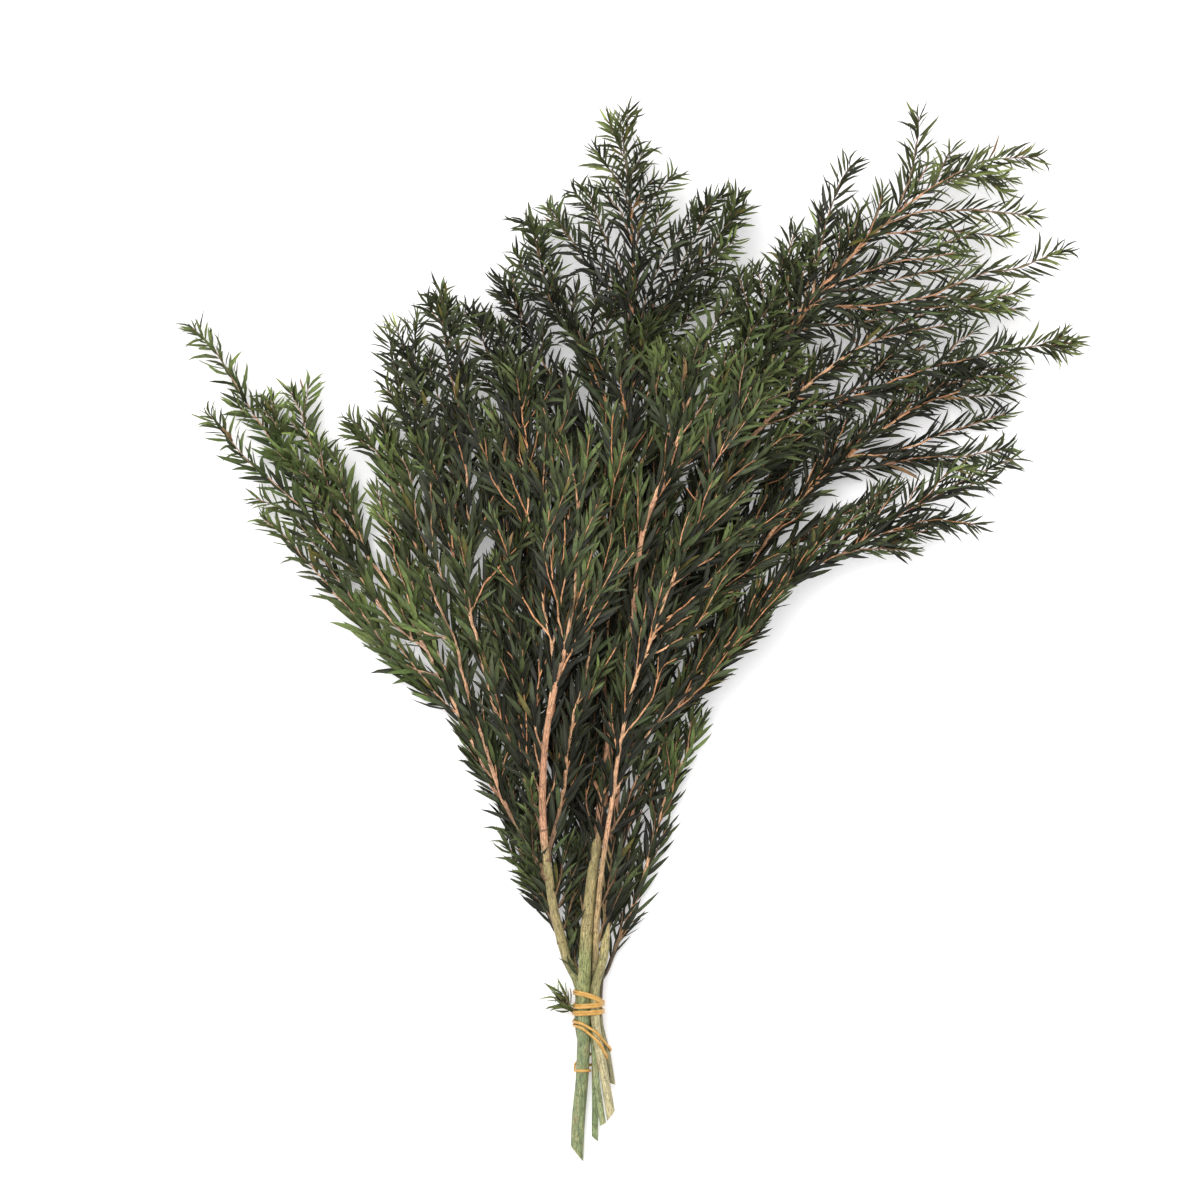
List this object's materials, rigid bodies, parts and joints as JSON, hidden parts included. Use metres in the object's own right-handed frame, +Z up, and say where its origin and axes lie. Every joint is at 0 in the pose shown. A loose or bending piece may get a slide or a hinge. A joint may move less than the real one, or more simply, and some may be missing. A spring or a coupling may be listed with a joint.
{
  "type": "bunch of preserved melaleuca stems",
  "caption": "Fan-shaped bunch of leafy preserved melaleuca stems lying flat, narrow pointed leaves on branching woody shoots, cut ends tied with a rubber band, for arranging or filling a vase",
  "frame": {"origin": "under the middle of the bunch, on the surface it lies on", "axes": "+Y from the cut ends to the leaf tips, +X to the right as seen from above, +Z up"},
  "size_m": [0.5146, 0.5998, 0.0649],
  "materials": {
    "foliage": "preserved leaves and bark, soft satin",
    "band": "smooth natural rubber"
  },
  "bodies": {
    "root": {"stem_centre": "foliage", "stem_left": "foliage", "stem_spire": "foliage", "stem_front": "foliage", "stem_right_low": "foliage", "stem_right_edge": "foliage", "stem_upper_right": "foliage", "rubber_band": "band"}
  },
  "joints": []
}
